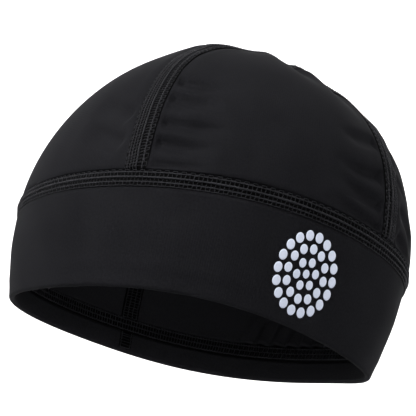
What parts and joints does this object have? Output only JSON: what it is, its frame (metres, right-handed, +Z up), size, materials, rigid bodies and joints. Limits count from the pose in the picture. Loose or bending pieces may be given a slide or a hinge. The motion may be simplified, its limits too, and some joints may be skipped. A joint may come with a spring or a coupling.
{
  "type": "skull cap",
  "caption": "Thin stretch skull cap with a tall folded band, gored crown and wide flatlock seams, in its worn form, open below for the head.",
  "frame": {"origin": "inside of the crown's top, where the top of the head carries the cap", "axes": "+Z up, square to the rim; -Y the wearer's front; +X the wearer's left"},
  "size_m": [0.164, 0.1992, 0.1315],
  "materials": {
    "black_jersey": "fine stretch jersey with a faint sheen",
    "seam_thread": "flatlock stitching in textured thread"
  },
  "bodies": {
    "root": {"band": "black_jersey", "crown_front_panel": "black_jersey", "crown_left_panel": "black_jersey", "crown_right_panel": "black_jersey", "crown_seam_front_right": "seam_thread", "crown_seam_front_left": "seam_thread", "crown_seam_back": "seam_thread", "band_seam": "seam_thread", "hem_seam": "seam_thread", "band_back_seam": "seam_thread"}
  },
  "joints": []
}
